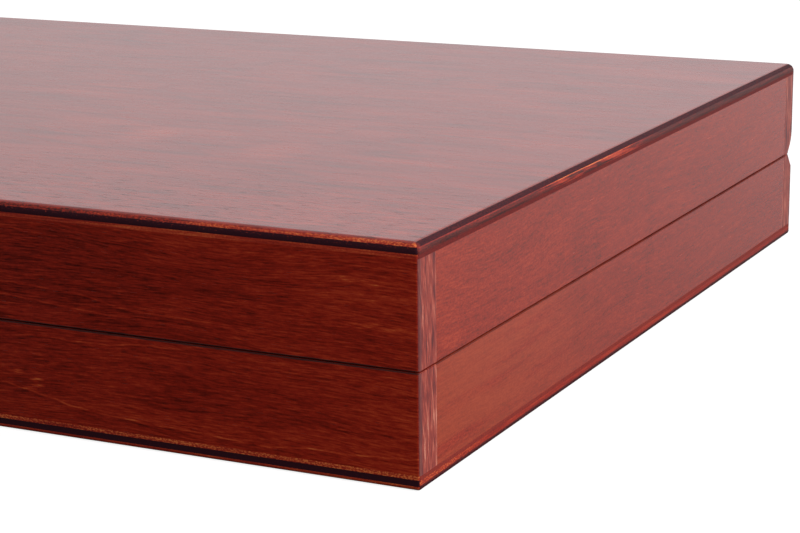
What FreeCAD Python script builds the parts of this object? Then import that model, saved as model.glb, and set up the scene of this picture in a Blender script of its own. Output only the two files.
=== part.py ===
import FreeCAD, Part
import Sketcher
import os
import math

# Hinged wooden presentation case for a folded flag.
#
# Two shallow box halves, one above the other, meet at a seam a little below
# mid height.  Each half is a frame of four boards closed by a 3-ply panel:
# the lid's panel is its top, the base's panel is its bottom.  The front and
# back boards run the whole length, and the side boards end in a tongue that
# is glued into a groove in them, so their end grain shows on the two sides.
# The back edges are bevelled at the seam.  The hinge pins lie at the inner
# edge of that V, and the two bevels meet to stop the lid past upright.
#
# Frame: millimetres.  Origin at the middle of the underside, +X to the right
# along the length, +Y to the hinged back, +Z up.  The case is closed at rest.

doc = FreeCAD.newDocument("FlagCase")

# ---------------------------------------------------------------- dimensions
SIZES = [
    # alias, value, what it is
    ("case_length", 442.0, "outside, left to right"),
    ("case_depth", 318.0, "outside, front to back"),
    ("case_height", 64.0, "outside, closed"),
    ("seam_height", 31.0, "height of the seam and of the hinge axis"),
    ("seam_half", 0.15, "each rim stands this far from the seam plane"),
    ("board", 10.0, "thickness of the frame boards"),
    ("panel", 4.0, "thickness of the 3-ply panels"),
    ("ply_outer", 1.15, "thickness of each outer ply"),
    ("ply_core", 1.7, "thickness of the core ply"),
    ("top_round", 2.5, "round-over of the lid panel's top edges"),
    ("under_round", 1.0, "round-over of the base panel's bottom edges"),
    ("corner_round", 0.8, "round-over of the upright corners"),
    ("arris", 0.2, "broken edge of the rims"),
    ("tongue_wide", 3.4, "thickness of the side boards' tongues"),
    ("tongue_long", 4.0, "length of the tongues"),
    ("groove_deep", 4.2, "depth of the grooves for them"),
    ("notch_deep", 4.5, "depth of the bevel at the back, from the back face"),
    ("notch_tall", 5.0, "height of the bevel, from the seam plane"),
    ("lid_blend", 9.0, "radius that blends the lid's bevel into its back"),
    ("base_blend", 0.8, "radius at the outer edge of the base's bevel"),
    ("hinge_x", 141.0, "middle of each hinge, from the middle of the case"),
    ("hinge_long", 32.0, "length of each hinge"),
    ("hinge_clear", 0.1, "clearance of a hinge in its recess, each way"),
    ("knuckle_gap", 0.15, "gap between two knuckles"),
    ("leaf_wide", 5.3, "from the pin's axis to the edge of the leaf"),
    ("leaf_thick", 1.2, "thickness of a leaf"),
    ("barrel_r", 1.8, "outside radius of the knuckles"),
    ("pin_r", 0.9, "radius of the hinge pin"),
    ("pin_clear", 0.05, "radial clearance of the lid's knuckles on the pin"),
    ("screw_r", 0.8, "radius of the screws' shanks"),
    ("screw_head_r", 1.5, "radius of the screws' heads"),
    ("screw_long", 8.0, "length of the screws"),
    ("screw_in", 3.75, "from the pin's axis to the screws' axis"),
    ("screw_pitch", 10.5, "distance between the screws of a leaf"),
    ("magnet_x", 150.0, "middle of each magnet, from the middle of the case"),
    ("magnet_r", 3.0, "radius of the catch magnets"),
    ("magnet_thick", 3.0, "thickness of the catch magnets"),
    ("pad_gap", 0.5, "gap between a lining pad and the boards"),
    ("pad_corner", 2.0, "radius of the pads' corners"),
    ("base_pad", 5.0, "thickness of the base's lining pad"),
    ("lid_pad", 6.0, "thickness of the lid's lining pad"),
]
sheet = doc.addObject("Spreadsheet::Sheet", "Dims")
sheet.set("A1", "dimension")
sheet.set("B1", "value, mm")
sheet.set("C1", "what it is")
for row, (alias, value, note) in enumerate(SIZES, start=2):
    sheet.set("A%d" % row, alias)
    sheet.set("B%d" % row, "%g" % value)
    sheet.setAlias("B%d" % row, alias)
    sheet.set("C%d" % row, note)
doc.recompute()
V = {alias: float(getattr(sheet, alias)) for alias, _, _ in SIZES}


def num(expr):
    """Adds up a sum of aliases and numbers such as a + b*2 - c/2, no brackets."""
    total, sign = 0.0, 1.0
    for token in expr.replace("-", " - ").replace("+", " + ").split():
        if token == "+":
            sign = 1.0
        elif token == "-":
            sign = -1.0
        else:
            value = 1.0
            first = True
            for part in token.split("*"):
                bits = part.split("/")
                x = V[bits[0]] if bits[0] in V else float(bits[0])
                for b in bits[1:]:
                    x /= V[b] if b in V else float(b)
                value = x if first else value * x
                first = False
            total += sign * value
            sign = 1.0
    return total


def bound(expr):
    """The same sum as a FreeCAD expression, with each alias read from the sheet."""
    out = []
    for token in expr.replace("-", " - ").replace("+", " + ").split():
        if token in "+-":
            out.append(token)
            continue
        bits = []
        for k, part in enumerate(token.split("*")):
            sub = part.split("/")
            sub = ["Dims." + b if b in V else b for b in sub]
            bits.append(" / ".join(sub))
        out.append(" * ".join(bits))
    return " ".join(out)


def minus(expr):
    """The negative of such a sum."""
    out, sign_open = [], False
    tokens = expr.replace("-", " - ").replace("+", " + ").split()
    if tokens[0] not in "+-":
        tokens = ["+"] + tokens
    for t in tokens:
        out.append({"+": "-", "-": "+"}.get(t, t))
    text = " ".join(out)
    return text[2:] if text.startswith("+ ") else text


# ------------------------------------------------------------------- helpers
def new_body(label):
    body = doc.addObject("PartDesign::Body", label)
    body.Label = label
    return body


def origin_plane(body, role):
    for item in body.Origin.OriginFeatures:
        if item.Role == role:
            return item
    raise RuntimeError("no plane " + role)


def new_sketch(body, name, role, offset):
    """A sketch on one of the body's own origin planes, moved along its normal."""
    sk = body.newObject("Sketcher::SketchObject", name)
    sk.AttachmentSupport = [(origin_plane(body, role), "")]
    sk.MapMode = "FlatFace"
    sk.AttachmentOffset = FreeCAD.Placement(
        FreeCAD.Vector(0, 0, num(offset)), FreeCAD.Rotation()
    )
    sk.setExpression("AttachmentOffset.Base.z", bound(offset))
    return sk


def pin_point(sk, geo, pos, x_expr, y_expr):
    """Fixes a point of a sketch at two sums of aliases."""
    for kind, axis, expr in (("DistanceX", -2, x_expr), ("DistanceY", -1, y_expr)):
        value = num(expr)
        if abs(value) < 1e-9:
            sk.addConstraint(Sketcher.Constraint("PointOnObject", geo, pos, axis))
            continue
        if value > 0:
            n = sk.addConstraint(Sketcher.Constraint(kind, -1, 1, geo, pos, value))
            sk.setExpression("Constraints[%d]" % n, bound(expr))
        else:
            n = sk.addConstraint(Sketcher.Constraint(kind, geo, pos, -1, 1, -value))
            sk.setExpression("Constraints[%d]" % n, bound(minus(expr)))


def polygon(sk, points):
    """A closed outline through points given as pairs of sums."""
    xy = [(num(a), num(b)) for a, b in points]
    count = len(xy)
    first = sk.GeometryCount
    for i in range(count):
        a, b = xy[i], xy[(i + 1) % count]
        sk.addGeometry(
            Part.LineSegment(
                FreeCAD.Vector(a[0], a[1], 0), FreeCAD.Vector(b[0], b[1], 0)
            ),
            False,
        )
    for i in range(count):
        sk.addConstraint(
            Sketcher.Constraint("Coincident", first + i, 2, first + (i + 1) % count, 1)
        )
    for i in range(count):
        pin_point(sk, first + i, 1, points[i][0], points[i][1])


def rectangle(sk, x0, x1, y0, y1):
    polygon(sk, [(x0, y0), (x1, y0), (x1, y1), (x0, y1)])


def circle(sk, x, y, radius):
    geo = sk.addGeometry(
        Part.Circle(
            FreeCAD.Vector(num(x), num(y), 0), FreeCAD.Vector(0, 0, 1), num(radius)
        ),
        False,
    )
    n = sk.addConstraint(Sketcher.Constraint("Radius", geo, num(radius)))
    sk.setExpression("Constraints[%d]" % n, bound(radius))
    pin_point(sk, geo, 3, x, y)


def pad(body, name, sk, length, back=False):
    f = body.newObject("PartDesign::Pad", name)
    f.Profile = sk
    f.Length = num(length)
    f.setExpression("Length", bound(length))
    f.Reversed = back
    doc.recompute()
    return f


def pocket(body, name, sk, length, back=False):
    """A cut, which runs against the sketch's normal unless back is set."""
    before = body.Shape.Volume
    f = body.newObject("PartDesign::Pocket", name)
    f.Profile = sk
    f.Length = num(length)
    f.setExpression("Length", bound(length))
    f.Reversed = back
    doc.recompute()
    if not body.Shape.Volume < before - 1e-6:
        raise RuntimeError(body.Label + "." + name + " cuts nothing")
    return f


def dress(body, kind, name, edges, prop, expr):
    """A fillet or chamfer on the edges that a test picks."""
    base = body.Tip
    picked = [
        "Edge%d" % (i + 1) for i, e in enumerate(base.Shape.Edges) if edges(e)
    ]
    if not picked:
        raise RuntimeError(body.Label + "." + name + " finds no edge")
    f = body.newObject("PartDesign::" + kind, name)
    f.Base = (base, picked)
    setattr(f, prop, num(expr))
    f.setExpression(prop, bound(expr))
    doc.recompute()
    if "Invalid" in f.State or "Error" in f.State or f.Shape.isNull():
        raise RuntimeError(body.Label + "." + name + " failed")
    return f


def mirrored(body, name, features):
    """The same features again on the other side of the case's middle."""
    f = body.newObject("PartDesign::Mirrored", name)
    f.Originals = features
    f.MirrorPlane = (origin_plane(body, "YZ_Plane"), [""])
    body.Tip = f
    doc.recompute()
    return f


def near(a, b, tol=1e-3):
    return abs(a - b) < tol


def spans(e, **limits):
    """Whether an edge lies in given planes: x=, y=, z= name the planes."""
    b = e.BoundBox
    for axis, value in limits.items():
        lo = getattr(b, axis.upper() + "Min")
        hi = getattr(b, axis.upper() + "Max")
        if not (near(lo, value) and near(hi, value)):
            return False
    return True


def upright(e):
    b = e.BoundBox
    return b.ZLength > 0.05 and b.XLength < 1e-4 and b.YLength < 1e-4


HALF_X, HALF_Y = V["case_length"] / 2, V["case_depth"] / 2
parts = {}

# -------------------------------------------------------------------- panels
# A ply is the whole panel with its round-over, trimmed to the ply's layer.
def ply(label, low, high, layer_low, layer_high, round_expr, top):
    body = new_body(label)
    sk = new_sketch(body, label + "_outline", "XY_Plane", low)
    rectangle(
        sk,
        "- case_length/2",
        "case_length/2",
        "- case_depth/2",
        "case_depth/2",
    )
    pad(body, label + "_panel", sk, high + minus(" + " + low))
    dress(body, "Fillet", label + "_corners", upright, "Radius", "corner_round")
    z = num(high) if top else num(low)
    dress(
        body,
        "Fillet",
        label + "_round",
        lambda e: spans(e, z=z),
        "Radius",
        round_expr,
    )
    if num(layer_low) > num(low) + 1e-6:
        sk = new_sketch(body, label + "_below", "XY_Plane", layer_low)
        rectangle(
            sk,
            "- case_length/2 - 5",
            "case_length/2 + 5",
            "- case_depth/2 - 5",
            "case_depth/2 + 5",
        )
        pocket(body, label + "_trim_below", sk, "panel + 1")
    if num(layer_high) < num(high) - 1e-6:
        sk = new_sketch(body, label + "_above", "XY_Plane", layer_high)
        rectangle(
            sk,
            "- case_length/2 - 5",
            "case_length/2 + 5",
            "- case_depth/2 - 5",
            "case_depth/2 + 5",
        )
        pocket(body, label + "_trim_above", sk, "panel + 1", back=True)
    parts[label] = body


ply("lid_face_ply", "case_height - panel", "case_height",
    "case_height - ply_outer", "case_height", "top_round", True)
ply("lid_core_ply", "case_height - panel", "case_height",
    "case_height - panel + ply_outer", "case_height - ply_outer", "top_round", True)
ply("lid_inner_ply", "case_height - panel", "case_height",
    "case_height - panel", "case_height - panel + ply_outer", "top_round", True)
ply("base_inner_ply", "0", "panel", "panel - ply_outer", "panel", "under_round", False)
ply("base_core_ply", "0", "panel", "ply_outer", "panel - ply_outer", "under_round", False)
ply("base_under_ply", "0", "panel", "0", "ply_outer", "under_round", False)

# -------------------------------------------------------------------- boards
# Front and back boards: full length, with a groove near each end for the
# side board's tongue.
BASE_LOW, BASE_HIGH = "panel", "seam_height - seam_half"
LID_LOW, LID_HIGH = "seam_height + seam_half", "case_height - panel"
GROOVE_NEAR = "case_length/2 - board/2 + tongue_wide/2"
GROOVE_FAR = "case_length/2 - board/2 - tongue_wide/2"


def long_board(label, front, low, high, rim_low):
    """rim_low says that the rim is the board's lower edge, as on the lid."""
    body = new_body(label)
    sk = new_sketch(body, label + "_outline", "XY_Plane", low)
    if front:
        y0, y1 = "- case_depth/2", "- case_depth/2 + board"
        g0, g1 = "- case_depth/2 + board - groove_deep", "- case_depth/2 + board"
    else:
        y0, y1 = "case_depth/2 - board", "case_depth/2"
        g0, g1 = "case_depth/2 - board", "case_depth/2 - board + groove_deep"
    rectangle(sk, "- case_length/2", "case_length/2", y0, y1)
    pad(body, label + "_blank", sk, high + minus(" + " + low))
    blank = body.Shape.Volume
    sk = new_sketch(body, label + "_grooves", "XY_Plane", high)
    rectangle(sk, GROOVE_FAR, GROOVE_NEAR, g0, g1)
    rectangle(sk, minus(GROOVE_NEAR), minus(GROOVE_FAR), g0, g1)
    pocket(body, label + "_groove", sk, high + minus(" + " + low))
    tall = num(high) - num(low)
    expect = blank - 2 * V["tongue_wide"] * V["groove_deep"] * tall
    if not near(body.Shape.Volume, expect, 0.5):
        raise RuntimeError(label + " grooves have the wrong volume")
    rim = num(low) if rim_low else num(high)
    outer = -HALF_Y if front else HALF_Y

    if front:
        dress(
            body, "Fillet", label + "_corners",
            lambda e: upright(e) and near(e.BoundBox.YMin, outer, 0.01),
            "Radius", "corner_round",
        )
        dress(
            body, "Chamfer", label + "_arris",
            lambda e: spans(e, z=rim)
            and (near(e.BoundBox.YMin, outer, 0.6) and near(e.BoundBox.YMax, outer, 0.6)
                 or near(abs(e.BoundBox.XMin), HALF_X, 1e-3)
                 and near(abs(e.BoundBox.XMax), HALF_X, 1e-3)),
            "Size", "arris",
        )
        # Blind holes for the catch magnets, in the rim.
        sk = new_sketch(body, label + "_magnet_holes", "XY_Plane",
                        low if rim_low else high)
        for x in ("magnet_x", "- magnet_x"):
            circle(sk, x, "- case_depth/2 + board/2", "magnet_r")
        pocket(body, label + "_magnet_hole", sk, "magnet_thick - seam_half",
               back=rim_low)
    else:
        # The bevel at the seam: a wedge through the whole length, whose plane
        # passes through the hinge axis.
        sk = new_sketch(body, label + "_bevel_outline", "YZ_Plane",
                        "case_length/2 + 1")
        if rim_low:
            points = [
                ("case_depth/2 - notch_deep", "seam_height"),
                ("case_depth/2", "seam_height + notch_tall"),
                ("case_depth/2 + 1", "seam_height + notch_tall"),
                ("case_depth/2 + 1", "seam_height"),
            ]
        else:
            points = [
                ("case_depth/2 - notch_deep", "seam_height"),
                ("case_depth/2 + 1", "seam_height"),
                ("case_depth/2 + 1", "seam_height - notch_tall"),
                ("case_depth/2", "seam_height - notch_tall"),
            ]
        polygon(sk, points)
        pocket(body, label + "_bevel", sk, "case_length + 2")
        level = V["seam_height"] + (V["notch_tall"] if rim_low else -V["notch_tall"])
        dress(
            body, "Fillet", label + "_blend",
            lambda e: spans(e, y=outer, z=level),
            "Radius", "lid_blend" if rim_low else "base_blend",
        )
        # The round-over of each upright corner runs on round the blend and
        # along the bevel to the rim.
        dress(
            body, "Fillet", label + "_corners",
            lambda e: upright(e) and near(e.BoundBox.YMin, outer),
            "Radius", "corner_round",
        )
        # Recesses for the hinges, with a deeper groove for the barrel.
        sk = new_sketch(body, label + "_recess_outline", "YZ_Plane",
                        "hinge_x + hinge_long/2 + hinge_clear")
        s = "+" if rim_low else "-"
        o = "-" if rim_low else "+"
        axis_y = "case_depth/2 - notch_deep"
        leaf_z = "seam_height %s seam_half %s leaf_thick" % (s, s)
        barrel_z = "seam_height %s barrel_r %s hinge_clear" % (s, s)
        open_z = "seam_height %s 2" % o
        polygon(sk, [
            ("case_depth/2 - board - 1", open_z),
            ("case_depth/2 - board - 1", leaf_z),
            (axis_y + " - barrel_r - hinge_clear", leaf_z),
            (axis_y + " - barrel_r - hinge_clear", barrel_z),
            (axis_y + " + barrel_r + hinge_clear", barrel_z),
            (axis_y + " + barrel_r + hinge_clear", open_z),
        ])
        cut = pocket(body, label + "_recess", sk,
                     "hinge_long + 2*hinge_clear")
        mirrored(body, label + "_recesses", [cut])
        # Pilot holes for the hinge screws.
        sk = new_sketch(body, label + "_pilot_outline", "XY_Plane",
                        leaf_z)
        for side in ("", "- "):
            for step in ("- screw_pitch", "", "+ screw_pitch"):
                x = "hinge_x " + step
                x = minus(x) if side else x
                circle(sk, x, axis_y + " - screw_in", "screw_r")
        pocket(body, label + "_pilots", sk, "screw_long - leaf_thick + 0.2",
               back=rim_low)
    parts[label] = body


def side_board(label, right, low, high, rim_low):
    body = new_body(label)
    sk = new_sketch(body, label + "_outline", "XY_Plane", low)
    s = "" if right else "- "
    def x(expr):
        return expr if right else minus(expr)
    inner = "case_depth/2 - board"
    tip = "case_depth/2 - board + tongue_long"
    out, inn = x("case_length/2"), x("case_length/2 - board")
    t_out, t_inn = x(GROOVE_NEAR), x(GROOVE_FAR)
    polygon(sk, [
        (out, minus(inner)), (out, inner),
        (t_out, inner), (t_out, tip), (t_inn, tip), (t_inn, inner),
        (inn, inner), (inn, minus(inner)),
        (t_inn, minus(inner)), (t_inn, minus(tip)),
        (t_out, minus(tip)), (t_out, minus(inner)),
    ])
    pad(body, label + "_blank", sk, high + minus(" + " + low))
    rim = num(low) if rim_low else num(high)
    outer = HALF_X if right else -HALF_X
    dress(
        body, "Chamfer", label + "_arris",
        lambda e: spans(e, x=outer, z=rim), "Size", "arris",
    )
    parts[label] = body


long_board("base_front_board", True, BASE_LOW, BASE_HIGH, False)
long_board("base_back_board", False, BASE_LOW, BASE_HIGH, False)
side_board("base_left_board", False, BASE_LOW, BASE_HIGH, False)
side_board("base_right_board", True, BASE_LOW, BASE_HIGH, False)
long_board("lid_front_board", True, LID_LOW, LID_HIGH, True)
long_board("lid_back_board", False, LID_LOW, LID_HIGH, True)
side_board("lid_left_board", False, LID_LOW, LID_HIGH, True)
side_board("lid_right_board", True, LID_LOW, LID_HIGH, True)


# -------------------------------------------------------------- lining pads
def lining(label, low, thick):
    body = new_body(label)
    sk = new_sketch(body, label + "_outline", "XY_Plane", low)
    rectangle(
        sk,
        "- case_length/2 + board + pad_gap",
        "case_length/2 - board - pad_gap",
        "- case_depth/2 + board + pad_gap",
        "case_depth/2 - board - pad_gap",
    )
    pad(body, label + "_block", sk, thick)
    dress(body, "Fillet", label + "_corners", upright, "Radius", "pad_corner")
    parts[label] = body


lining("base_lining_pad", "panel", "base_pad")
lining("lid_lining_pad", "case_height - panel - lid_pad", "lid_pad")

# ------------------------------------------------------------------- magnets
def discs(label, low):
    body = new_body(label)
    sk = new_sketch(body, label + "_outline", "XY_Plane", low)
    for x in ("magnet_x", "- magnet_x"):
        circle(sk, x, "- case_depth/2 + board/2", "magnet_r")
    pad(body, label + "_discs", sk, "magnet_thick")
    parts[label] = body


discs("base_magnet_discs", "seam_height - magnet_thick")
discs("lid_magnet_discs", "seam_height")

# -------------------------------------------------------------------- hinges
# Five knuckles on one pin: three belong to the base's leaf, two to the lid's.
AXIS_Y = "case_depth/2 - notch_deep"
PITCH = V["hinge_long"] / 5


def prim(kind, name, sizes, place, rotation=None):
    """A Part primitive whose sizes and place are bound to the sheet."""
    p = doc.addObject("Part::" + kind, name)
    for prop, expr in sizes.items():
        setattr(p, prop, num(expr))
        p.setExpression(prop, bound(expr))
    p.Placement = FreeCAD.Placement(
        FreeCAD.Vector(*[num(e) for e in place]), rotation or FreeCAD.Rotation()
    )
    for axis, expr in zip("xyz", place):
        p.setExpression("Placement.Base." + axis, bound(expr))
    return p


ALONG_X = FreeCAD.Rotation(FreeCAD.Vector(0, 1, 0), 90)


def leaf(label, side, of_lid):
    """side is + or -, for the right or left hinge."""
    mid = "hinge_x" if side > 0 else "- hinge_x"
    low_x = mid + " - hinge_long/2"
    z_low = (
        "seam_height + seam_half" if of_lid else "seam_height - seam_half - leaf_thick"
    )
    z_face = "seam_height + seam_half" if of_lid else "seam_height - seam_half"
    plate = prim(
        "Box", label + "_plate",
        {"Length": "hinge_long", "Width": "leaf_wide - barrel_r - hinge_clear",
         "Height": "leaf_thick"},
        (low_x, AXIS_Y + " - leaf_wide", z_low),
    )
    solids, bores = [plate], []
    for k in range(5):
        if (k % 2 == 1) != of_lid:
            continue
        start = "%s + hinge_long*%g + knuckle_gap/2" % (low_x, k / 5)
        long = "hinge_long/5 - knuckle_gap"
        if k == 0:
            start, long = low_x, "hinge_long/5 - knuckle_gap/2"
        if k == 4:
            long = "hinge_long/5 - knuckle_gap/2"
        solids.append(prim(
            "Box", "%s_web_%d" % (label, k),
            {"Length": long, "Width": "leaf_wide", "Height": "leaf_thick"},
            (start, AXIS_Y + " - leaf_wide", z_low),
        ))
        solids.append(prim(
            "Cylinder", "%s_knuckle_%d" % (label, k),
            {"Radius": "barrel_r", "Height": long},
            (start, AXIS_Y, "seam_height"), ALONG_X,
        ))
    bores.append(prim(
        "Cylinder", label + "_bore",
        {"Radius": "pin_r + pin_clear" if of_lid else "pin_r",
         "Height": "hinge_long + 2"},
        (low_x + " - 1", AXIS_Y, "seam_height"), ALONG_X,
    ))
    for n, step in enumerate(("- screw_pitch", "", "+ screw_pitch")):
        at = (mid + " " + step, AXIS_Y + " - screw_in")
        bores.append(prim(
            "Cylinder", "%s_hole_%d" % (label, n),
            {"Radius": "screw_r", "Height": "leaf_thick + 2"},
            (at[0], at[1], z_low + " - 1"),
        ))
        sink = {"Radius1": "screw_r", "Radius2": "screw_head_r",
                "Height": "screw_head_r - screw_r"}
        if of_lid:
            sink = {"Radius1": "screw_head_r", "Radius2": "screw_r",
                    "Height": "screw_head_r - screw_r"}
            sink_z = z_face
        else:
            sink_z = z_face + " - screw_head_r + screw_r"
        bores.append(prim("Cone", "%s_sink_%d" % (label, n), sink,
                          (at[0], at[1], sink_z)))
    fused = doc.addObject("Part::MultiFuse", label + "_solid")
    fused.Shapes = solids
    cuts = doc.addObject("Part::MultiFuse", label + "_cuts")
    cuts.Shapes = bores
    done = doc.addObject("Part::Cut", label)
    done.Base, done.Tool = fused, cuts
    done.Label = label
    doc.recompute()
    parts[label] = done


def hinge_pin(label, side):
    mid = "hinge_x" if side > 0 else "- hinge_x"
    body = new_body(label)
    sk = new_sketch(body, label + "_outline", "YZ_Plane", mid + " - hinge_long/2")
    circle(sk, AXIS_Y, "seam_height", "pin_r")
    pad(body, label + "_rod", sk, "hinge_long")
    dress(body, "Chamfer", label + "_ends",
          lambda e: near(e.BoundBox.XLength, 0, 1e-3), "Size", "knuckle_gap")
    parts[label] = body


for name, side in (("left", -1), ("right", 1)):
    leaf(name + "_hinge_base_leaf", side, False)
    leaf(name + "_hinge_lid_leaf", side, True)
    hinge_pin(name + "_hinge_pin", side)


# Countersunk slotted screws, three in each leaf.  Each is turned from one
# outline: a flush head, a shank and a pointed tip.
def screws(label, of_lid):
    s = "+" if of_lid else "-"
    face = "seam_height %s seam_half" % s
    pieces = []
    n = 0
    for side in (-1, 1):
        for step in (-1, 0, 1):
            mid = "hinge_x" if side > 0 else "- hinge_x"
            x = mid + {-1: " - screw_pitch", 0: "", 1: " + screw_pitch"}[step]
            body = doc.addObject("PartDesign::Body", "%s_%d" % (label, n))
            sk = new_sketch(body, "%s_%d_outline" % (label, n), "XZ_Plane",
                            minus(AXIS_Y + " - screw_in"))
            head_z = "%s %s screw_head_r %s screw_r" % (face, s, "-" if of_lid else "+")
            polygon(sk, [
                (x, face),
                (x + " + screw_head_r", face),
                (x + " + screw_r", head_z),
                (x + " + screw_r", "%s %s screw_long %s 1.2" % (face, s, "-" if of_lid else "+")),
                (x, "%s %s screw_long" % (face, s)),
            ])
            turned = body.newObject("PartDesign::Revolution",
                                    "%s_%d_turned" % (label, n))
            turned.Profile = sk
            turned.ReferenceAxis = (sk, ["Edge5"])
            turned.Angle = 360.0
            doc.recompute()
            cut_sk = new_sketch(body, "%s_%d_slot_outline" % (label, n), "XY_Plane",
                                face)
            rectangle(cut_sk, x + " - 0.2", x + " + 0.2",
                      AXIS_Y + " - screw_in - 2", AXIS_Y + " - screw_in + 2")
            pocket(body, "%s_%d_slot" % (label, n), cut_sk, "0.35", back=of_lid)
            pieces.append(body)
            n += 1
    group = doc.addObject("Part::Compound", label)
    group.Label = label
    group.Links = pieces
    doc.recompute()
    parts[label] = group


screws("base_leaf_screws", False)
screws("lid_leaf_screws", True)

# -------------------------------------------------------------------- output
doc.recompute()
bad = [o.Name for o in doc.Objects if "Invalid" in o.State or "Error" in o.State]
if bad:
    raise RuntimeError("failed objects: " + ", ".join(bad))
os.makedirs("parts", exist_ok=True)
for label, obj in sorted(parts.items()):
    shape = obj.Shape
    if shape.isNull() or not shape.isValid() or not shape.Solids:
        raise RuntimeError(label + " has no valid shape")
    for solid in shape.Solids:
        if solid.Volume <= 0:
            raise RuntimeError(label + " has an empty solid")
    b = shape.BoundBox
    print(
        "%-24s solids %d  volume %10.2f  x %.2f..%.2f y %.2f..%.2f z %.2f..%.2f"
        % (label, len(shape.Solids), shape.Volume, b.XMin, b.XMax, b.YMin, b.YMax,
           b.ZMin, b.ZMax)
    )
    shape.exportStep("parts/%s.step" % label)
print(len(parts), "parts written")
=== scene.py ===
import bpy
import bmesh
import math
import numpy as np
from mathutils import Matrix, Vector

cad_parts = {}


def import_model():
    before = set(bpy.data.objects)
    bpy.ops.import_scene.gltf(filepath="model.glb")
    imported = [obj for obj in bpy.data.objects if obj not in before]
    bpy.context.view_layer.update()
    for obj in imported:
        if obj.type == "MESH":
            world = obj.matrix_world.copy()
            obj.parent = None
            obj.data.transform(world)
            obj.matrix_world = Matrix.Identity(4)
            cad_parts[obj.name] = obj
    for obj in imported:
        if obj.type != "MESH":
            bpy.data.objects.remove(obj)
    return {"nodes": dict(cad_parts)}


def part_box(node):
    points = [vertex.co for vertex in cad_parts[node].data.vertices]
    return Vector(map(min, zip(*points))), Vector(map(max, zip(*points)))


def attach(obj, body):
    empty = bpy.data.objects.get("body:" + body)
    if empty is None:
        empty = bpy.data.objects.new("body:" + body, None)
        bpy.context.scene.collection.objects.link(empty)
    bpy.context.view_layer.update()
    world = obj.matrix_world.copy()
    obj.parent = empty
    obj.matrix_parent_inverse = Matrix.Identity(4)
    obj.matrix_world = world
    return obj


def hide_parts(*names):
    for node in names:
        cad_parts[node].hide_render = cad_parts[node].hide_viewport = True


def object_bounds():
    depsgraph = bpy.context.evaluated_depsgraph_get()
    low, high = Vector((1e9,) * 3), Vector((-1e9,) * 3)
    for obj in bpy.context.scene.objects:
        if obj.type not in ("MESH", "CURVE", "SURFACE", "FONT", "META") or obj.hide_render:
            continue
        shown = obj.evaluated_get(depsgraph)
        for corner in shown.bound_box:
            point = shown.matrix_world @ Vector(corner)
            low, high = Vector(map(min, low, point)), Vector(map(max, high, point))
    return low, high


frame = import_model()
nodes = frame["nodes"]
scene = bpy.context.scene
scene.view_settings.view_transform = "Standard"
scene.view_settings.look = "None"
cad_lo, cad_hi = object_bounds()
LO, HI = Vector(cad_lo), Vector(cad_hi)
HALF_X, HALF_Y, TOP = HI.x * 1000, HI.y * 1000, HI.z * 1000          # millimetres
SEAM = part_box("lid_front_board")[0].z * 500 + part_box("base_front_board")[1].z * 500


# ---------------------------------------------------------------- camera
def photo_camera():
    case_h = HI.z
    focal_px, az, pitch, roll = 2256.26, 0.459614365, 0.239786781, -0.0103864951
    fwd = Vector((-math.sin(az) * math.cos(pitch), math.cos(az) * math.cos(pitch), -math.sin(pitch)))
    right = Vector((math.cos(az), math.sin(az), 0.0))
    up = right.cross(fwd)
    r2 = right * math.cos(roll) + up * math.sin(roll)
    u2 = up * math.cos(roll) - right * math.sin(roll)
    near_corner = Vector((HI.x, LO.y, 0.0))
    place = near_corner + case_h * Vector((3.65916459, -7.55114643, 2.96298232))
    data = bpy.data.cameras.new("camera")
    data.sensor_width = 36.0
    data.lens = 36.0 * focal_px / 800.0
    data.clip_start, data.clip_end = 0.01, 50.0
    cam = bpy.data.objects.new("camera", data)
    scene.collection.objects.link(cam)
    m = Matrix.Identity(4)
    for i, axis in enumerate((r2, u2, -fwd)):
        for k in range(3):
            m[k][i] = axis[k]
    m.translation = place
    cam.matrix_world = m
    scene.camera = cam
    return cam


photo_camera()


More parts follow.
